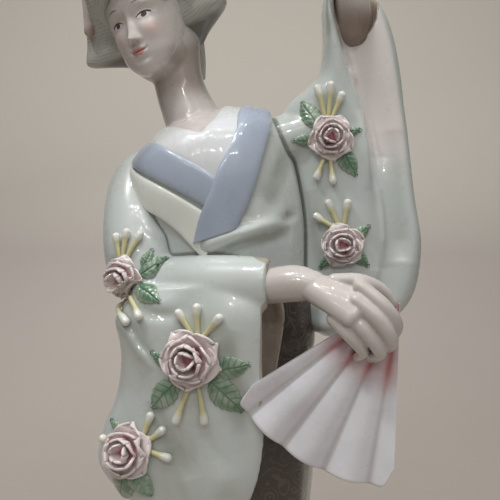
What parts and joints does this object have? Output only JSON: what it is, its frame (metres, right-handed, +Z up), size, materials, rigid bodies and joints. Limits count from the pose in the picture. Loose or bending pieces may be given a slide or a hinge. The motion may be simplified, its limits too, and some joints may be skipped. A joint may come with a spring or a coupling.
{
  "type": "geisha figurine",
  "caption": "Glazed porcelain figurine of a standing geisha in a kimono, one arm raised in a long sleeve and the other holding a half-open folding fan.",
  "frame": {"origin": "middle of the flat underside of the kimono's hem", "axes": "+Z up, +X to the figure's left (the viewer's right), -Y the way the figure faces"},
  "size_m": [0.1543, 0.1079, 0.338],
  "materials": {
    "glazed_porcelain": "clear high-gloss glaze over pale celadon, white, blue and rose underglaze colours"
  },
  "bodies": {
    "root": {"geisha_figurine": "glazed_porcelain"}
  },
  "joints": []
}
